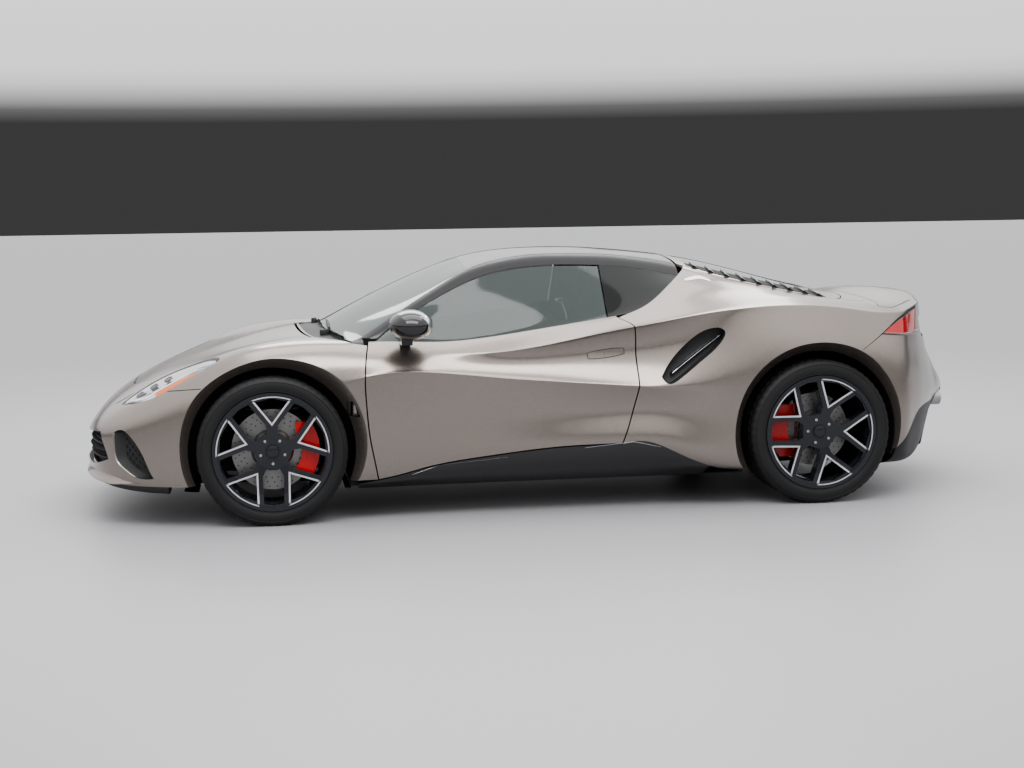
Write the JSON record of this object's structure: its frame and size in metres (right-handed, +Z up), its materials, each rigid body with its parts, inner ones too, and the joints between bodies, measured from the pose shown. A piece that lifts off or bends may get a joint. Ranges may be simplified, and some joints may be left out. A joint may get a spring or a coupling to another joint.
{
  "type": "coupe car",
  "caption": "Low two-seat mid-engined coupe with hinged doors, front and rear lids, steered front wheels and free-turning road wheels.",
  "frame": {"origin": "on the ground under the middle of the overall box", "axes": "+X towards the nose, +Y towards the car's left side, +Z up"},
  "size_m": [4.412, 2.104, 1.2222],
  "materials": {
    "paint": "satin",
    "glass": "gloss",
    "gloss_black": "gloss",
    "black_plastic": "matt",
    "tyre": "matt",
    "rim": "satin",
    "disc": "brushed",
    "caliper": "gloss",
    "steel": "satin",
    "tub": "matt",
    "leather": "matt",
    "lamp_red": "gloss",
    "lamp_clear": "gloss"
  },
  "bodies": {
    "chassis": {"cabin_tub": "tub", "undertrays": "black_plastic", "subframes": "steel", "suspension_arms": "steel", "rear_uprights": "steel", "rear_calipers": "caliper", "arch_liners": "black_plastic", "engine_block": "steel", "luggage_bin": "black_plastic", "dashboard": "black_plastic", "seats": "leather", "windscreen": "glass", "quarter_glasses": "glass", "roof_panel": "gloss_black", "roof_frame": "gloss_black", "front_clamshell": "paint", "front_splitter": "black_plastic", "cowl_panel": "black_plastic", "rear_clamshell": "paint", "rear_bumper": "paint", "side_sills": "gloss_black", "lid_hinges": "steel", "door_hinges": "steel", "bulkheads": "tub", "headlamps": "lamp_clear", "tail_lamps": "lamp_red", "front_intakes": "black_plastic", "side_intakes": "black_plastic", "rear_grille": "black_plastic", "rear_diffuser": "gloss_black", "exhaust_tips": "steel"},
    "door_left": {"door_left": "paint", "door_glass_left": "glass", "door_mirror_left": "gloss_black"},
    "door_right": {"door_right": "paint", "door_glass_right": "glass", "door_mirror_right": "gloss_black"},
    "bonnet": {"bonnet": "paint"},
    "tailgate": {"tailgate": "paint", "tailgate_glass": "glass"},
    "knuckle_left": {"knuckle_front_left": "steel", "caliper_front_left": "caliper"},
    "knuckle_right": {"knuckle_front_right": "steel", "caliper_front_right": "caliper"},
    "steering_wheel": {"steering_wheel": "black_plastic"},
    "wheel_front_left": {"tyre_front_left": "tyre", "rim_front_left": "rim", "brake_disc_front_left": "disc"},
    "wheel_front_right": {"tyre_front_right": "tyre", "rim_front_right": "rim", "brake_disc_front_right": "disc"},
    "wheel_rear_left": {"tyre_rear_left": "tyre", "rim_rear_left": "rim", "brake_disc_rear_left": "disc"},
    "wheel_rear_right": {"tyre_rear_right": "tyre", "rim_rear_right": "rim", "brake_disc_rear_right": "disc"}
  },
  "joints": [
    {"name": "door_left_hinge", "type": "hinge", "parent": "chassis", "child": "door_left", "pos_m": [0.955, 0.862, 0.6], "axis": [0, 0, -1], "range_deg": [0, 65]},
    {"name": "door_right_hinge", "type": "hinge", "parent": "chassis", "child": "door_right", "pos_m": [0.955, -0.862, 0.6], "axis": [0, 0, 1], "range_deg": [0, 65]},
    {"name": "bonnet_hinge", "type": "hinge", "parent": "chassis", "child": "bonnet", "pos_m": [1.06, 0, 0.795], "axis": [0, -1, 0], "range_deg": [0, 60]},
    {"name": "tailgate_hinge", "type": "hinge", "parent": "chassis", "child": "tailgate", "pos_m": [-0.56, 0, 1.14], "axis": [0, 1, 0], "range_deg": [0, 50]},
    {"name": "steer_left", "type": "hinge", "parent": "chassis", "child": "knuckle_left", "pos_m": [1.332, 0.741, 0.34], "axis": [0, 0, 1], "range_deg": [-28, 28]},
    {"name": "steer_right", "type": "hinge", "parent": "chassis", "child": "knuckle_right", "pos_m": [1.332, -0.741, 0.34], "axis": [0, 0, 1], "range_deg": [-28, 28]},
    {"name": "steering_wheel_turn", "type": "hinge", "parent": "chassis", "child": "steering_wheel", "pos_m": [0.545, 0.37, 0.715], "axis": [-0.9272, 0, 0.3746], "range_deg": [-420, 420]},
    {"name": "wheel_front_left_spin", "type": "hinge", "parent": "knuckle_left", "child": "wheel_front_left", "pos_m": [1.332, 0.783, 0.34], "axis": [0, 1, 0], "continuous": true},
    {"name": "wheel_front_right_spin", "type": "hinge", "parent": "knuckle_right", "child": "wheel_front_right", "pos_m": [1.332, -0.783, 0.34], "axis": [0, 1, 0], "continuous": true},
    {"name": "wheel_rear_left_spin", "type": "hinge", "parent": "chassis", "child": "wheel_rear_left", "pos_m": [-1.243, 0.775, 0.3425], "axis": [0, 1, 0], "continuous": true},
    {"name": "wheel_rear_right_spin", "type": "hinge", "parent": "chassis", "child": "wheel_rear_right", "pos_m": [-1.243, -0.775, 0.3425], "axis": [0, 1, 0], "continuous": true}
  ],
  "couplings": [
    {"joint": "steer_right", "follows": "steer_left", "ratio": 1},
    {"joint": "steering_wheel_turn", "follows": "steer_left", "ratio": 15}
  ]
}
